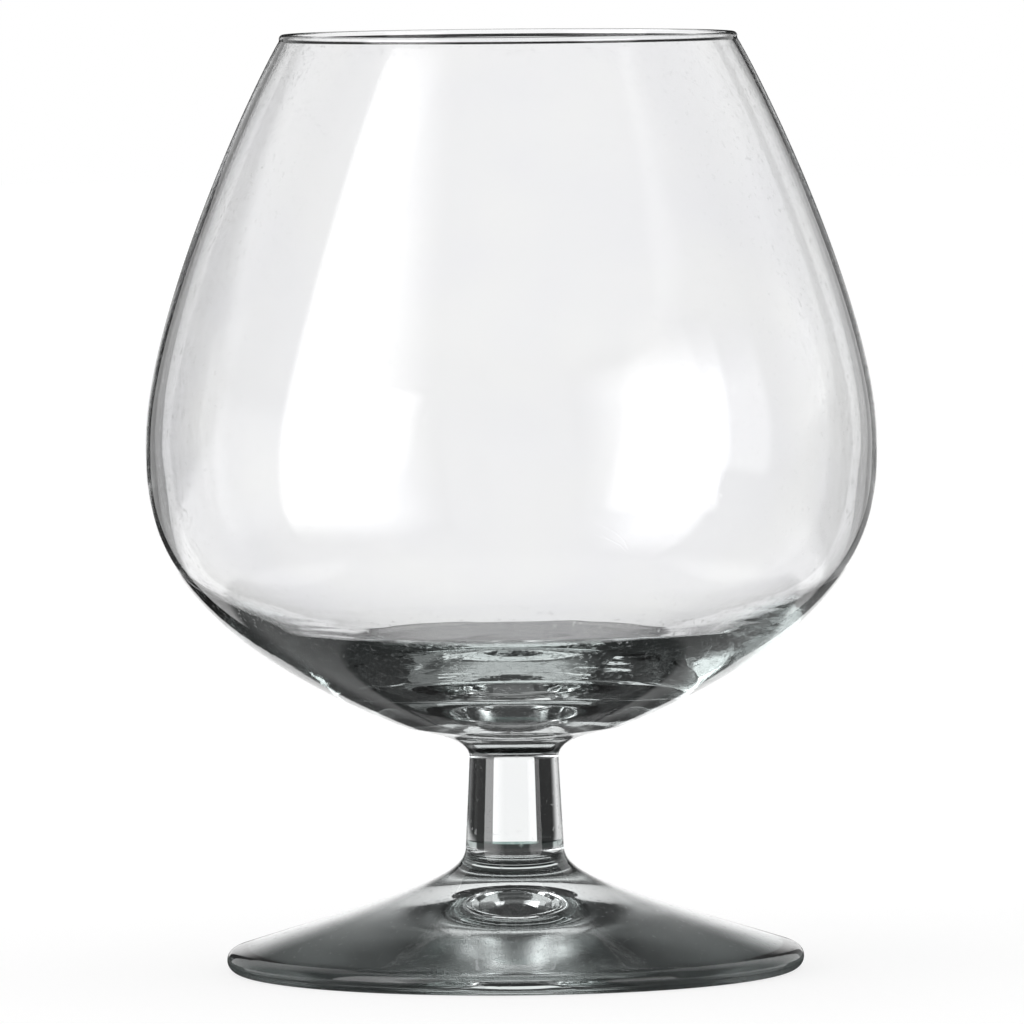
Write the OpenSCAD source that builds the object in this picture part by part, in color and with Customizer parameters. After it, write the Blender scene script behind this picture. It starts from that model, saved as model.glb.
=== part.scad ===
// Brandy snifter of clear soda-lime glass: a wide balloon bowl that draws in to a small rim,
// a short solid stem, and a broad pressed foot. The three are joined hot, end to end.
// Z = 0 is the table, the axis of the glass is the Z axis, and all sizes are in millimetres.

/* [Foot] */
// Outside diameter of the foot
foot_d = 67.2; // [60:0.2:75]
// Height of the foot, from the table to its joint with the stem
foot_h = 14.5; // [12:0.5:18]
// Slope of the upper face near the edge, in degrees
foot_slope = 17.5; // [12:0.5:22]
// Radius of the rounded edge
foot_edge_r = 1.35; // [1:0.05:1.8]
// Diameter at which the straight slope starts to curve up to the stem
flare_d = 49; // [42:0.5:54]
// How far the flare keeps to the straight slope
flare_pull = 16; // [12:0.5:18]
// How far the flare keeps to the line of the stem
collar_pull = 2.9; // [2:0.1:4]
// Width of the flat ring that stands on the table
rest_w = 2; // [1:0.1:4]
// Rise of the hollow under the foot, at its middle
hollow_rise = 5.8; // [4.5:0.1:6.5]
// How far the hollow keeps level around its middle
hollow_middle_pull = 6; // [4:0.5:8]
// Slope of the hollow where it meets the flat ring, in degrees
hollow_slope = 9.5; // [7:0.5:11]
// How far the hollow keeps to that slope
hollow_edge_pull = 17; // [12:0.5:19]

/* [Stem] */
// Length of the stem between its two joints
stem_len = 10.3; // [6:0.1:40]
// Diameter of the stem at the bowl
neck_d = 10.4; // [8:0.1:12]
// Diameter of the stem at the foot
stem_foot_d = 11.44; // [9:0.02:13]

/* [Bowl] */
// Height of the bowl, from its joint with the stem to the top of the rim
bowl_h = 84.2; // [75:0.1:95]
// Outside diameter at the widest part
belly_d = 85; // [76:0.5:92]
// Height of the widest part above the joint with the stem
belly_h = 36.7; // [32:0.1:42]
// Outside diameter of the bead at the rim
rim_d = 53.2; // [46:0.2:60]
// Lean of the wall at the rim, inwards from upright, in degrees
rim_lean = 30; // [20:1:36]
// How far the wall keeps to the upright line above the widest part
shoulder_pull = 14; // [8:0.5:20]
// How far the wall keeps to its lean below the rim
rim_pull = 8; // [4:0.5:12]
// Thickness of the wall at the rim
rim_wall = 0.8; // [0.7:0.05:1.2]
// Thickness of the wall at the widest part
belly_wall = 1; // [0.8:0.05:1.6]
// How far the bead stands out from the wall
bead_proud = 0.2; // [0.1:0.05:0.4]

/* [Base of the bowl] */
// Thickness of glass on the axis, from the inside of the bowl to the joint with the stem
base_t = 8.7; // [8.2:0.1:10.5]
// How far up the bowl's outside the heavy base reaches, as a share of that curve
base_top_share = 0.315; // [0.29:0.005:0.34]
// Thickness of the wall where the heavy base starts
base_top_wall = 1.35; // [1.2:0.05:1.6]
// How much flatter the inside lies there than the outside, in degrees
base_top_turn = 4; // [2:0.5:6]
// How far the inside keeps to the upright line below the widest part
inside_side_pull = 12.2; // [9:0.2:14]
// How far the thin wall keeps to the slope at the start of the base
inside_wall_pull = 6.2; // [4:0.2:8]
// How far the base keeps to that slope
inside_base_pull = 1.4; // [0.8:0.1:3]
// Diameter of the shallow floor inside the bowl
floor_d = 37.4; // [35:0.2:39]
// Height of the floor's edge above its middle
floor_edge_h = 0.75; // [0.6:0.05:1.2]
// Slope of the inside at the floor's edge, in degrees
floor_edge_slope = 23; // [20:0.5:25]
// How far the base keeps to the slope at the floor's edge
inside_slope_pull = 8.4; // [5:0.2:9]
// How far the floor keeps to the slope at its edge
floor_edge_pull = 0.7; // [0.4:0.1:1.2]
// How far the floor keeps level around its middle
floor_middle_pull = 6.3; // [4:0.1:9]
// How far the outside keeps to the upright line below the widest part
side_pull = 7.3; // [4:0.1:12]
// Diameter at which the outside of the bowl turns down to the neck
shoulder_d = 25.8; // [20:0.2:30]
// Height of that turn above the joint with the stem
shoulder_h = 3.7; // [3:0.1:5]
// Slope of the outside at that turn, in degrees
shoulder_slope = 22; // [16:1:28]
// How far the outside keeps to that slope
shoulder_slope_pull = 32.5; // [26:0.5:36]
// How far the turn keeps to the slope before it drops
turn_pull = 1.5; // [0.5:0.1:3]
// How far the neck keeps upright above its joint
neck_pull = 2.6; // [1:0.1:3]

/* [Hidden] */
$fn = 72;
glass = [0.84, 0.88, 0.87];

// Heights of the joints, the widest part and the rim above the table
neck_z = foot_h + stem_len;
belly_z = neck_z + belly_h;
top_z = neck_z + bowl_h;

// A point on the smooth curve from a to d that leaves towards b and arrives from c, at
// share t of the way along.
function curve_point(a, b, c, d, t) = let (u = 1 - t)
    u * u * u * a + 3 * u * u * t * b + 3 * u * t * t * c + t * t * t * d;

// The slope of that curve at the same place, in degrees from level.
function curve_slope(a, b, c, d, t) = let (u = 1 - t,
    way = u * u * (b - a) + 2 * u * t * (c - b) + t * t * (d - c)) atan2(way[1], way[0]);

// The curve in n steps. The first point is left out, because the stretch before it ends there.
function curve(a, b, c, d, n) = [for (i = [1 : n]) curve_point(a, b, c, d, i / n)];

// Points of a round stretch about centre c, from angle a0 to angle a1 in n steps.
function arc(c, r, a0, a1, n) = [for (i = [0 : n]) let (a = a0 + (a1 - a0) * i / n)
    c + r * [cos(a), sin(a)]];

// A direction at an angle from level, as a pair of radius and height.
function along(angle) = [cos(angle), sin(angle)];

// The foot: a rounded edge, a straight slope that flares up to the stem, and a conical
// hollow underneath that leaves a flat ring to stand on.
module foot() {
    foot_r = foot_d / 2;
    edge = [foot_r - foot_edge_r, foot_edge_r];
    rest = [foot_r - foot_edge_r - rest_w, 0];
    slope_start = edge + foot_edge_r * along(90 - foot_slope);
    run = slope_start[0] - flare_d / 2;
    flare_start = slope_start + run * [-1, tan(foot_slope)];
    joint = [stem_foot_d / 2, foot_h];
    outline = concat(
        [[0, hollow_rise]],
        curve([0, hollow_rise], [hollow_middle_pull, hollow_rise],
              rest + hollow_edge_pull * along(180 - hollow_slope), rest, 8),
        arc(edge, foot_edge_r, -90, 90 - foot_slope, 7),
        [flare_start],
        curve(flare_start, flare_start + flare_pull * along(180 - foot_slope),
              joint - [0, collar_pull], joint, 12),
        [[0, foot_h]]);
    color(glass) rotate_extrude() polygon(outline);
}

// The stem: a short solid rod, a little thicker towards the foot.
module stem() {
    color(glass) translate([0, 0, foot_h])
        cylinder(h = stem_len, d1 = stem_foot_d, d2 = neck_d);
}

// The bowl: a thin blown wall under a fire-polished bead, heavy at its base, which ends
// in a short solid neck. One closed outline goes up the outside and down the inside.
module bowl() {
    belly_r = belly_d / 2;
    neck = [neck_d / 2, neck_z];
    turn = [shoulder_d / 2, neck_z + shoulder_h];
    belly_out = [belly_r, belly_z];
    belly_in = [belly_r - belly_wall, belly_z];
    side_low = turn + shoulder_slope_pull * along(shoulder_slope);
    side_high = belly_out - [0, side_pull];

    // The heavy base starts on the inside, across the wall from a point of the outside.
    top_slope = curve_slope(turn, side_low, side_high, belly_out, base_top_share);
    top_out = curve_point(turn, side_low, side_high, belly_out, base_top_share);
    base_top = top_out + base_top_wall * along(top_slope + 90);
    base_top_way = along(top_slope - base_top_turn);
    floor_mid = [0, neck_z + base_t];
    floor_edge = floor_mid + [floor_d / 2, floor_edge_h];
    floor_way = along(floor_edge_slope);

    // The bead is flush with the wall inside and stands proud of it outside.
    bead_r = (rim_wall + bead_proud) / 2;
    bead = [rim_d / 2 - bead_r, top_z - bead_r];
    up = along(90 + rim_lean);
    out = along(rim_lean);
    bead_turn = 40;
    wall_out = bead + (bead_r - bead_proud) * out - bead_r * 3 / 2 * up;
    bead_out = bead + bead_r * along(rim_lean - bead_turn);
    bead_in = bead - bead_r * out;

    outline = concat(
        [[0, neck_z], neck],
        curve(neck, neck + [0, neck_pull],
              turn - turn_pull * along(shoulder_slope), turn, 6),
        curve(turn, side_low, side_high, belly_out, 14),
        curve(belly_out, belly_out + [0, shoulder_pull],
              wall_out - rim_pull * up, wall_out, 11),
        curve(wall_out, wall_out + bead_r * 2 / 5 * up,
              bead_out - bead_r / 3 * along(rim_lean - bead_turn + 90), bead_out, 3),
        arc(bead, bead_r, rim_lean - bead_turn, 180 + rim_lean, 8),
        curve(bead_in, bead_in - rim_pull * up,
              belly_in + [0, shoulder_pull], belly_in, 11),
        curve(belly_in, belly_in - [0, inside_side_pull],
              base_top + inside_wall_pull * base_top_way, base_top, 9),
        curve(base_top, base_top - inside_base_pull * base_top_way,
              floor_edge + inside_slope_pull * floor_way, floor_edge, 6),
        curve(floor_edge, floor_edge - floor_edge_pull * floor_way,
              floor_mid + [floor_middle_pull, 0], floor_mid, 5));
    color(glass) rotate_extrude() polygon(outline);
}

bowl();
stem();
foot();
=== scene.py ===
import math

import bmesh
import bpy
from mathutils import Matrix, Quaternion, Vector


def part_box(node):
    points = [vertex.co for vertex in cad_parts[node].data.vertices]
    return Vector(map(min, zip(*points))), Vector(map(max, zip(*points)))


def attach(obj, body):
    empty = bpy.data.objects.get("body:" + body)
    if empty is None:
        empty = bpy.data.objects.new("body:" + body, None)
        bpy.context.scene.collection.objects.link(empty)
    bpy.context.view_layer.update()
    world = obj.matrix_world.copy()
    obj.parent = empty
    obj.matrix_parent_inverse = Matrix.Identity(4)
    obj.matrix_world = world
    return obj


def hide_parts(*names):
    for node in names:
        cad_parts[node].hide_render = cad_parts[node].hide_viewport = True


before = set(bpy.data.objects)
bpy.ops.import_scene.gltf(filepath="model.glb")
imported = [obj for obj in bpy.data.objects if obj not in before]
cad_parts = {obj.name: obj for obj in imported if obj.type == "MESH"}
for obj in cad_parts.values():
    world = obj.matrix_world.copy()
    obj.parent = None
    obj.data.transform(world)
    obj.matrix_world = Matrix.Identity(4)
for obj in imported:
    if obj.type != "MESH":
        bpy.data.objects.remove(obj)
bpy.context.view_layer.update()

# Bowl. The real one is blown soda-lime glass: a thin wall under a bead that a flame has
# melted round, and a heavy base that ends in a short solid neck. The neck is fused hot to
# the stem, so no surface is left between them inside the glass.
MM = 0.001
bowl_low, bowl_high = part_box("bowl")
neck_z = bowl_low.z
rim_z = bowl_high.z
neck_r = 10.4 * MM / 2
belly_r = 85 * MM / 2
belly_z = neck_z + 36.7 * MM
rim_r = 53.2 * MM / 2
rim_lean = 30
shoulder_pull = 14 * MM
rim_pull = 8 * MM
rim_wall = 0.8 * MM
belly_wall = 1.0 * MM
bead_proud = 0.2 * MM
bead_r = (rim_wall + bead_proud) / 2
bead_turn = 40
base_t = 8.7 * MM
base_top_share = 0.315
base_top_wall = 1.35 * MM
base_top_turn = 4
inside_side_pull = 12.2 * MM
inside_wall_pull = 6.2 * MM
inside_base_pull = 1.4 * MM
floor_r = 37.4 * MM / 2
floor_edge_h = 0.75 * MM
floor_edge_slope = 23
inside_slope_pull = 8.4 * MM
floor_edge_pull = 0.7 * MM
floor_middle_pull = 6.3 * MM
side_pull = 7.3 * MM
shoulder_r = 25.8 * MM / 2
shoulder_h = 3.7 * MM
shoulder_slope = 22
shoulder_slope_pull = 32.5 * MM
turn_pull = 1.5 * MM
neck_pull = 2.6 * MM
neck_steps = 16
side_steps = 56
wall_steps = 40
bead_root_steps = 6
bead_steps = 20
inside_steps = 32
floor_steps = 24
FUSED = "fused"


def along(degrees):
    """A direction in the outline's plane, as (radius, height)."""
    turn = math.radians(degrees)
    return Vector((math.cos(turn), math.sin(turn)))


def curve_point(a, b, c, d, t):
    """A point of the smooth curve from a to d that leaves towards b and arrives from c."""
    u = 1 - t
    return u**3 * a + 3 * u * u * t * b + 3 * u * t * t * c + t**3 * d


def curve_slope(a, b, c, d, t):
    """The slope of that curve at the same share of the way, in degrees from level."""
    u = 1 - t
    way = u * u * (b - a) + 2 * u * t * (c - b) + t * t * (d - c)
    return math.degrees(math.atan2(way.y, way.x))


def curve(a, b, c, d, steps):
    """Points along that curve, without a."""
    return [curve_point(a, b, c, d, i / steps) for i in range(1, steps + 1)]


def arc(centre, radius, first, last, steps):
    """Points of a round stretch about centre, from one angle to another."""
    return [centre + radius * along(first + (last - first) * i / steps) for i in range(steps + 1)]


def bowl_outline():
    """Up the outside from the axis at the neck, round the bead and down the inside to the axis."""
    neck = Vector((neck_r, neck_z))
    turn = Vector((shoulder_r, neck_z + shoulder_h))
    belly_out = Vector((belly_r, belly_z))
    belly_in = Vector((belly_r - belly_wall, belly_z))
    rise = Vector((0, 1))
    side_low = turn + shoulder_slope_pull * along(shoulder_slope)
    side = [turn, side_low, belly_out - side_pull * rise, belly_out]
    top_slope = curve_slope(*side, base_top_share)
    base_top = curve_point(*side, base_top_share) + base_top_wall * along(top_slope + 90)
    base_way = along(top_slope - base_top_turn)
    floor_mid = Vector((0, neck_z + base_t))
    floor_edge = Vector((floor_r, neck_z + base_t + floor_edge_h))
    floor_way = along(floor_edge_slope)
    up = along(90 + rim_lean)
    out = along(rim_lean)
    bead = Vector((rim_r - bead_r, rim_z - bead_r))
    wall_out = bead + (bead_r - bead_proud) * out - bead_r * 3 / 2 * up
    bead_out = bead + bead_r * along(rim_lean - bead_turn)
    bead_in = bead - bead_r * out
    return [
        Vector((0, neck_z)), neck,
        *curve(neck, neck + neck_pull * rise,
               turn - turn_pull * along(shoulder_slope), turn, neck_steps),
        *curve(*side, side_steps),
        *curve(belly_out, belly_out + shoulder_pull * rise,
               wall_out - rim_pull * up, wall_out, wall_steps),
        *curve(wall_out, wall_out + bead_r * 2 / 5 * up,
               bead_out - bead_r / 3 * along(rim_lean - bead_turn + 90), bead_out, bead_root_steps),
        *arc(bead, bead_r, rim_lean - bead_turn, 180 + rim_lean, bead_steps)[1:],
        *curve(bead_in, bead_in - rim_pull * up,
               belly_in + shoulder_pull * rise, belly_in, wall_steps),
        *curve(belly_in, belly_in - inside_side_pull * rise,
               base_top + inside_wall_pull * base_way, base_top, inside_steps),
        *curve(base_top, base_top - inside_base_pull * base_way,
               floor_edge + inside_slope_pull * floor_way, floor_edge, inside_steps),
        *curve(floor_edge, floor_edge - floor_edge_pull * floor_way,
               Vector((floor_middle_pull, floor_mid.y)), floor_mid, floor_steps),
    ]


def turned(name, outline, joints):
    """Spins an outline from axis to axis into a closed smooth solid, and marks its fused end faces."""
    rounds = 192
    merge_reach = 0.001 * MM
    joint_reach = 0.01 * MM
    flat_from = 0.999
    bm = bmesh.new()
    verts = [bm.verts.new((p.x, 0, p.y)) for p in outline]
    edges = [bm.edges.new(pair) for pair in zip(verts, verts[1:])]
    bmesh.ops.spin(bm, geom=verts + edges, cent=(0, 0, 0), axis=(0, 0, 1), angle=math.tau,
                   steps=rounds, use_merge=True, use_normal_flip=False, use_duplicate=False)
    bmesh.ops.remove_doubles(bm, verts=bm.verts, dist=merge_reach)
    bmesh.ops.recalc_face_normals(bm, faces=bm.faces)
    fused = bm.faces.layers.float.new(FUSED)
    for face in bm.faces:
        face.smooth = True
        flat = abs(face.normal.z) > flat_from
        if flat and any(abs(face.calc_center_median().z - z) < joint_reach for z in joints):
            face[fused] = 1
    for edge in bm.edges:
        if len({face[fused] for face in edge.link_faces}) > 1:
            edge.smooth = False
    mesh = bpy.data.meshes.new(name)
    bm.to_mesh(mesh)
    bm.free()
    piece = bpy.data.objects.new(name, mesh)
    bpy.context.scene.collection.objects.link(piece)
    return piece


class Socket:
    """A shader socket whose operators add Math nodes."""

    def __init__(self, shader, socket):
        self.shader = shader
        self.socket = socket

    def maths(self, operation, *values):
        slots = {f"_{i}": value for i, value in enumerate(values)}
        return self.shader.node("ShaderNodeMath", {"operation": operation}, **slots)

    def __add__(self, other):
        return self.maths("ADD", self, other)

    def __sub__(self, other):
        return self.maths("SUBTRACT", self, other)

    def __rsub__(self, other):
        return self.maths("SUBTRACT", other, self)

    def __mul__(self, other):
        return self.maths("MULTIPLY", self, other)

    def __truediv__(self, other):
        return self.maths("DIVIDE", self, other)

    __radd__ = __add__
    __rmul__ = __mul__

    def most(self, other):
        return self.maths("MAXIMUM", self, other)

    def size(self):
        return self.maths("ABSOLUTE", self)

    def root(self):
        return self.maths("SQRT", self)

    def arcsine(self):
        return self.maths("ARCSINE", self)

    def over(self, edge, width):
        """0 below edge, rising smoothly to 1 over width."""
        return self.shader.node("ShaderNodeMapRange", {"interpolation_type": "SMOOTHSTEP"}, output="Result",
                                Value=self, From_Min=edge, From_Max=edge + width)


class Shader:
    """A node tree, with one method that adds any node."""

    def __init__(self, owner):
        owner.use_nodes = True
        self.tree = owner.node_tree
        self.tree.nodes.clear()

    def node(self, kind, settings=None, output=0, **inputs):
        """Adds a node, sets it up and gives back one output, or all where output is None.
        An input named _1 is the second one."""
        made = self.tree.nodes.new(kind)
        for key, value in (settings or {}).items():
            setattr(made, key, value)
        for key, value in inputs.items():
            slot = made.inputs[int(key[1:]) if key[1:].isdigit() else key.replace("_", " ")]
            if isinstance(value, Socket):
                self.tree.links.new(value.socket, slot)
            else:
                slot.default_value = value
        if output is None:
            return [Socket(self, socket) for socket in made.outputs]
        return Socket(self, made.outputs[output]) if len(made.outputs) else None

    def split(self, vector):
        return self.node("ShaderNodeSeparateXYZ", output=None, _0=vector)


def clear_glass(name, wave, wave_size, streak, streak_size, mould_skin=0.0):
    """Clear soda-lime glass. Broad waves run over it, and rings of fine streaks lie on the faces
    that look up from inside the bowl or down under the foot, where a mould also leaves a faint
    skin. A few specks of dust are dull. Where the glass is thick it is grey-green."""
    level_from, level_blur = 0.5, 0.3
    patch_size, patch_from, patch_blur = 14 * MM, 0.42, 0.2
    rings_wander = 2.2
    speck_size, speck_share, speck_blur, speck_dullness = 0.6 * MM, 0.26, 0.02, 0.2
    skin_from, skin_blur = 10 * MM, 5 * MM
    cord_from, cord_blur, cord_tint = 0.3, 0.4, (0.984, 0.984, 0.994, 1)
    on_axis = 1e-8
    material = bpy.data.materials.new(name)
    shader = Shader(material)
    place = shader.node("ShaderNodeTexCoord", output="Object")
    x, y, z = shader.split(place)
    level = shader.split(shader.node("ShaderNodeTexCoord", output="Normal"))[2]
    reach = (x * x + y * y + on_axis).root()
    around = shader.node("ShaderNodeCombineXYZ", X=x / reach * rings_wander, Y=y / reach * rings_wander,
                         Z=(reach + z) / streak_size)
    rings = shader.node("ShaderNodeTexNoise", Vector=around, Scale=1.0, Detail=1.0)
    patches = shader.node("ShaderNodeTexNoise", Vector=place, Scale=1 / patch_size, Detail=0.0)
    inner = level.size().over(level_from, level_blur) * patches.over(patch_from, patch_blur)
    waves = shader.node("ShaderNodeTexNoise", Vector=place, Scale=1 / wave_size, Detail=1.0)
    height = waves * wave + rings * inner * streak
    bump = shader.node("ShaderNodeBump", Height=height, Strength=1.0, Distance=1.0)
    dust = shader.node("ShaderNodeTexNoise", Vector=place, Scale=1 / speck_size, Detail=0.0)
    specks = dust.over(1 - speck_share, speck_blur) * speck_dullness
    skin = (0 - level).over(level_from, level_blur) * reach.over(skin_from, skin_blur) * mould_skin
    tint = shader.node("ShaderNodeMix", {"data_type": "RGBA"}, output=2,
                       Factor=waves.over(cord_from, cord_blur), _6=(1, 1, 1, 1), _7=cord_tint)
    shell = shader.node("ShaderNodeBsdfPrincipled", Base_Color=tint, IOR=1.52, Roughness=specks.most(skin),
                        Transmission_Weight=1.0, Normal=bump)
    joint = shader.node("ShaderNodeAttribute", {"attribute_name": FUSED}, output="Fac")
    through = shader.node("ShaderNodeBsdfTransparent")
    surface = shader.node("ShaderNodeMixShader", _0=joint, _1=shell, _2=through)
    depth = shader.node("ShaderNodeVolumeAbsorption", Color=(0.45, 0.6, 0.57, 1), Density=9.0)
    shader.node("ShaderNodeOutputMaterial", Surface=surface, Volume=depth)
    return material


bowl = turned("blown_bowl", bowl_outline(), [neck_z])
bowl.data.materials.append(clear_glass("blown_glass", wave=0.015 * MM, wave_size=14 * MM,
                                       streak=0.015 * MM, streak_size=1.6 * MM))
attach(bowl, "root")
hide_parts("bowl")

# Stem. A short solid rod, drawn from hot glass and a little thicker towards the foot.
# Both of its ends are fused, to the neck above and to the foot's collar below.
stem_foot_r = 11.44 * MM / 2
foot_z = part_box("foot")[1].z
stem_steps = 12


def stem_outline():
    """From the axis at the foot, up the side and back to the axis at the neck."""
    low = Vector((stem_foot_r, foot_z))
    high = Vector((neck_r, neck_z))
    side = [low.lerp(high, i / stem_steps) for i in range(stem_steps + 1)]
    return [Vector((0, foot_z)), *side, Vector((0, neck_z))]


stem = turned("drawn_stem", stem_outline(), [foot_z, neck_z])
stem.data.materials.append(clear_glass("drawn_glass", wave=0.01 * MM, wave_size=6 * MM,
                                       streak=0.0, streak_size=1.2 * MM))
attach(stem, "root")
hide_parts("stem")

# Foot. A pressed disc whose upper face flares up to a collar, with a fire-polished edge.
# Underneath it is a little hollow, so that it stands on a flat ring, and its skin is the
# mould's, less smooth than the rest.
foot_r = 67.2 * MM / 2
foot_slope = 17.5
foot_edge_r = 1.35 * MM
flare_r = 49 * MM / 2
flare_pull = 16 * MM
collar_pull = 2.9 * MM
rest_w = 2 * MM
hollow_rise = 5.8 * MM
hollow_middle_pull = 6 * MM
hollow_slope = 9.5
hollow_edge_pull = 17 * MM
hollow_steps = 40
edge_steps = 20
slope_steps = 10
flare_steps = 48


def foot_outline():
    """From the axis under the hollow, out to the edge, up the slope and the flare to the axis."""
    middle = Vector((0, hollow_rise))
    edge = Vector((foot_r - foot_edge_r, foot_edge_r))
    rest = Vector((foot_r - foot_edge_r - rest_w, 0))
    slope_start = edge + foot_edge_r * along(90 - foot_slope)
    run = slope_start.x - flare_r
    flare_start = slope_start + run * Vector((-1, math.tan(math.radians(foot_slope))))
    joint = Vector((stem_foot_r, foot_z))
    return [
        middle,
        *curve(middle, Vector((hollow_middle_pull, hollow_rise)),
               rest + hollow_edge_pull * along(180 - hollow_slope), rest, hollow_steps),
        *arc(edge, foot_edge_r, -90, 90 - foot_slope, edge_steps),
        *[slope_start.lerp(flare_start, i / slope_steps) for i in range(1, slope_steps + 1)],
        *curve(flare_start, flare_start + flare_pull * along(180 - foot_slope),
               joint - Vector((0, collar_pull)), joint, flare_steps),
        Vector((0, foot_z)),
    ]


foot = turned("pressed_foot", foot_outline(), [foot_z])
foot.data.materials.append(clear_glass("pressed_glass", wave=0.03 * MM, wave_size=9 * MM,
                                       streak=0.02 * MM, streak_size=2.2 * MM, mould_skin=0.16))
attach(foot, "root")
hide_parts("foot")

# Soft lights. Two tall panels stand in front of the glass, one on the left and one on the
# right, and make the two bright windows on the bowl. They glow less towards their edges,
# and the camera doesn't see them.
scene = bpy.context.scene
scene.view_settings.view_transform = "Standard"
scene.cycles.max_bounces = 32
scene.cycles.transmission_bounces = 32
scene.cycles.glossy_bounces = 24
scene.cycles.transparent_max_bounces = 32
WHITE = (1, 1, 1, 1)
light_away = 2.6
aim_point = Vector((0, 0, 0.06))


def sheet_of(name, corners):
    """A four-cornered sheet, with a map from 0 to 1 along its lower edge and up its side."""
    bm = bmesh.new()
    face = bm.faces.new([bm.verts.new(corner) for corner in corners])
    across = bm.loops.layers.uv.new("across")
    for loop, place in zip(face.loops, [(0, 0), (1, 0), (1, 1), (0, 1)]):
        loop[across].uv = place
    mesh = bpy.data.meshes.new(name)
    bm.to_mesh(mesh)
    bm.free()
    made = bpy.data.objects.new(name, mesh)
    scene.collection.objects.link(made)
    return made


def towards(left, up, distance):
    """A place seen from the middle of the glass, by its angle left of the camera and its height angle."""
    a, e = math.radians(left), math.radians(up)
    way = Vector((-math.sin(a) * math.cos(e), -math.cos(a) * math.cos(e), math.sin(e)))
    return way * distance + aim_point


def soft_light(name, corners, strength, foot_fade, inner_fade, top_from):
    """A panel whose corners are given as angles: outer and inner foot, then inner and outer top."""
    outer_fade = 0.12
    made = sheet_of(name, [towards(left, up, light_away) for left, up in corners])
    material = bpy.data.materials.new(name)
    shader = Shader(material)
    u, v = shader.split(shader.node("ShaderNodeTexCoord", output="UV"))[:2]
    share = u.over(0, outer_fade) * (1 - u).over(0, inner_fade) * v.over(0, foot_fade)
    share = share * (1 - v.over(top_from, 1 - top_from))
    glow = shader.node("ShaderNodeEmission", Color=WHITE, Strength=share * strength)
    shader.node("ShaderNodeOutputMaterial", Surface=glow)
    made.data.materials.append(material)
    made.visible_camera = False


soft_light("left_soft_light", [(80, -28), (18, -28), (28, 56), (76, 56)], strength=3.0,
           foot_fade=0.22, inner_fade=0.45, top_from=0.66)
soft_light("right_soft_light", [(-71, -20), (-26, -20), (-38, 30), (-64, 30)], strength=2.5,
           foot_fade=0.15, inner_fade=0.2, top_from=0.4)

# Cards. A white card stands close behind the glass and one at its left, so that it is clear
# from the front and from the side. Beyond its white a card is grey on one side and dark on
# the other. Only the glass shows them, and in its outside they fade out towards their top.
card_away = 0.25
card_half = 0.084
card_foot = -0.14
card_top = 0.118
grey_half = 0.135
grey_glow = 0.2
room_dark = 0.03


def card(name, turn, thin):
    """A card that faces the glass. What stands behind a thin one shows through it, and it fades
    out at its foot, at its top and towards its right."""
    mirror_from, mirror_blur = 0.03, 0.07
    top_from = 0.88
    thin_foot_blur = 0.05
    thin_right, thin_right_blur = 0.042, 0.02
    right = Vector((math.cos(turn), math.sin(turn), 0))
    away = Vector((-math.sin(turn), math.cos(turn), 0))
    ends = [(-grey_half, card_foot), (grey_half, card_foot), (grey_half, card_top), (-grey_half, card_top)]
    made = sheet_of(name, [right * a + away * card_away + Vector((0, 0, b)) for a, b in ends])
    material = bpy.data.materials.new(name)
    shader = Shader(material)
    u, v = shader.split(shader.node("ShaderNodeTexCoord", output="UV"))[:2]
    side = (u - 0.5) * (2 * grey_half)
    height = v * (card_top - card_foot) + card_foot
    white = 1 - side.size().over(card_half, 0.002)
    grey = side.over(0, 0.001) * grey_glow
    through = shader.node("ShaderNodeLightPath", output="Is Transmission Ray")
    sheen = 1 - (1 - through) * height.over(mirror_from, mirror_blur)
    glow = shader.node("ShaderNodeEmission", Color=WHITE, Strength=white.most(grey) * sheen + room_dark)
    clear = shader.node("ShaderNodeBsdfTransparent")
    seen = through * height.over(-thin_foot_blur, thin_foot_blur) * (1 - v.over(top_from, 1 - top_from))
    seen = seen * (1 - side.over(thin_right, thin_right_blur))
    scrim = shader.node("ShaderNodeMixShader", _0=seen, _1=clear,
                        _2=shader.node("ShaderNodeAddShader", _0=glow, _1=clear))
    shader.node("ShaderNodeOutputMaterial", Surface=scrim if thin else glow)
    made.data.materials.append(material)
    made.visible_camera = False
    made.visible_diffuse = False
    made.visible_shadow = False


card("back_card", 0, thin=False)
card("side_card", math.pi / 2, thin=True)

# Table. A pale top that takes the soft shadow of the glass. What the glass shows of it is painted
# light that stands in for a gloss, a glow that depends on the angle: dull at a low angle, paler from above
# and from the sides.
# Under the foot a painted shadow keeps the glow from above dull, and a painted shadow darkens a ring
# under the foot's edge; from about 9 cm out the glass shows what lies below it.
table_half = 3
shade_share = 0.35
table_white = 1.13
painted_low_glow = 0.07
painted_steep_glow = 0.37
steep_from = 0.42
steep_blur = 0.15
painted_side_glow = 0.8
across_from = 0.62
across_blur = 0.07
edge_shadow_depth = 0.75
edge_blur = 0.006
edge_in = 0.026
edge_out = 0.036
edge_out_blur = 0.004
foot_shadow_reach = 0.034
table_end = 0.085
table_end_blur = 0.015
table = sheet_of("table", [(-table_half, -table_half, 0), (table_half, -table_half, 0),
                           (table_half, table_half, 0), (-table_half, table_half, 0)])
pale = bpy.data.materials.new("pale_table")
shader = Shader(pale)
place = shader.node("ShaderNodeTexCoord", output="Object")
reach = shader.node("ShaderNodeVectorMath", {"operation": "LENGTH"}, output="Value", _0=place)
# Painted reflection: glass rays see this table glow paler from above and from the sides, in place of a
# gloss.
steep = 1 - shader.node("ShaderNodeLayerWeight", output="Facing", Blend=0.5)
sideways = shader.node("ShaderNodeCombineXYZ", X=1.0)
across = 1 - shader.node("ShaderNodeLayerWeight", output="Facing", Blend=0.5, Normal=sideways)
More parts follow.
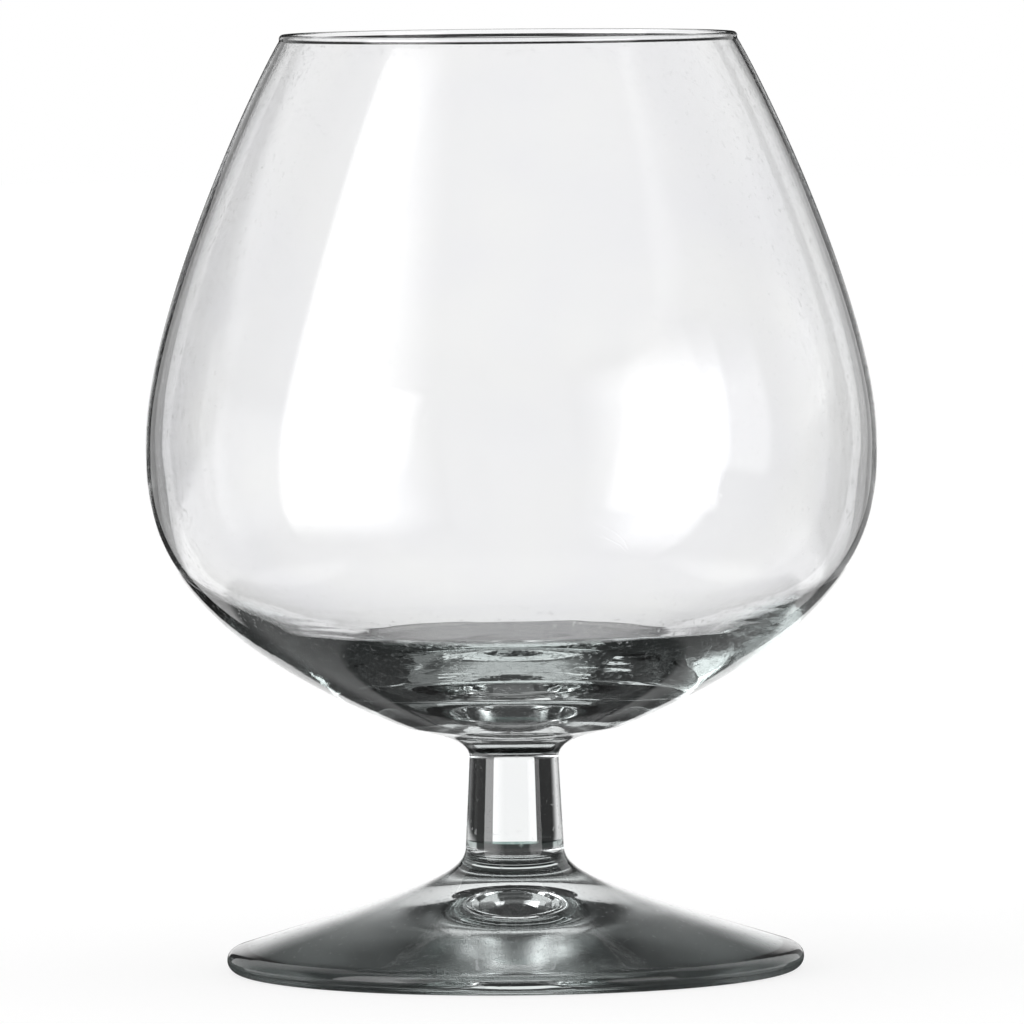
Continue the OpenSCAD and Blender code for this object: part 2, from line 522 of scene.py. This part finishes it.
# Painted shadow: under the foot the glow from above is cut, and below, a ring under the foot's edge is
# darkened.
glow = steep.over(steep_from, steep_blur) * reach.over(foot_shadow_reach, edge_blur)
glow = glow * (painted_steep_glow - painted_low_glow) + painted_low_glow
painted_edge_shadow = reach.over(edge_in, edge_blur) * (1 - reach.over(edge_out, edge_out_blur)) * edge_shadow_depth
glow = glow.most(across.over(across_from, across_blur) * painted_side_glow) * (1 - painted_edge_shadow)
matt = shader.node("ShaderNodeBsdfDiffuse", Color=(0.8, 0.8, 0.8, 1))
bright = shader.node("ShaderNodeEmission", Color=WHITE, Strength=table_white)
cover = shader.node("ShaderNodeMixShader", _0=1 - shade_share, _1=matt, _2=bright)
dim = shader.node("ShaderNodeEmission", Color=WHITE, Strength=glow)
gone = shader.node("ShaderNodeBsdfTransparent")
around = shader.node("ShaderNodeMixShader", _0=reach.over(table_end, table_end_blur), _1=dim, _2=gone)
glassy = shader.node("ShaderNodeLightPath", output="Is Transmission Ray").most(
    shader.node("ShaderNodeLightPath", output="Is Glossy Ray"))
result = shader.node("ShaderNodeMixShader", _0=glassy, _1=cover, _2=around)
shader.node("ShaderNodeOutputMaterial", Surface=result)
table.data.materials.append(pale)

# Room. It is white to the camera and on matt things. In the glass it is dark, apart from the
# floor, which is pale behind the glass and dim elsewhere. Two pale walls behind the glass,
# one at each side, show as streaks in its outer surface.
DEG = math.pi / 180
floor_limit = -12 * DEG
floor_lean = 8 * DEG
floor_blur = 4 * DEG
front_from = -0.6
front_blur = 0.5
front_dim = 0.85
front_floor_blur = 14 * DEG
right_blur = 0.1
wall_from = 0.22
wall_from_blur = 0.05
wall_to = 0.6
wall_to_blur = 0.3
wall_glow = 0.6
wall_limit = -22 * DEG
wall_limit_blur = 2 * DEG
right_wall_in = 0.11
right_wall_drop = 26 * DEG
right_wall_extra = 0.2
room = bpy.data.worlds.new("room")
scene.world = room
shader = Shader(room)
east, north, up = shader.split(shader.node("ShaderNodeTexCoord", output="Generated"))
rise = up.arcsine()
front = (0 - north).over(front_from, front_blur)
limit = floor_limit - north * floor_lean - east * floor_lean
softness = front * front_floor_blur + floor_blur
lit = (1 - ((rise - limit) / softness).over(0, 1)) * (1 - front * front_dim)
right = east.over(0, right_blur)
walls = (east.size() - right * right_wall_in).over(wall_from, wall_from_blur)
walls = walls * (1 - east.size().over(wall_to, wall_to_blur)) * north.over(0, right_blur)
wall_low = right * -right_wall_drop + wall_limit
walls = walls * ((rise - wall_low) / wall_limit_blur).over(0, 1) * (right * right_wall_extra + wall_glow)
through = shader.node("ShaderNodeLightPath", output="Is Transmission Ray")
mirrored = shader.node("ShaderNodeLightPath", output="Is Glossy Ray")
plain = shader.node("ShaderNodeLightPath", output="Is Camera Ray").most(
    shader.node("ShaderNodeLightPath", output="Is Diffuse Ray"))
level = lit * through.most(mirrored) * (1 - room_dark) + room_dark
level = level.most(mirrored * (1 - through) * walls).most(plain)
surround = shader.node("ShaderNodeBackground", Color=WHITE, Strength=level)
shader.node("ShaderNodeOutputWorld", Surface=surround)

# Camera. It stands in front, a little above the rim, looks down by about three degrees and
# leans over by half a degree, as in the photograph.
camera_away = 1.417
camera_z = 0.1352
aim_z = 0.0533
camera_lean = math.radians(0.48)
pixels_per_metre = 8600
frame_pixels = 1024
sensor_width = 36
camera_data = bpy.data.cameras.new("camera")
camera = bpy.data.objects.new("camera", camera_data)
scene.collection.objects.link(camera)
camera.location = (0, -camera_away, camera_z)
look = Vector((0, 0, aim_z)) - camera.location
aimed = look.to_track_quat("-Z", "Y")
camera.rotation_euler = (aimed @ Quaternion((0, 0, 1), -camera_lean)).to_euler()
camera_data.sensor_width = sensor_width
camera_data.lens = pixels_per_metre * look.length * sensor_width / frame_pixels
camera_data.clip_end = 50
scene.camera = camera
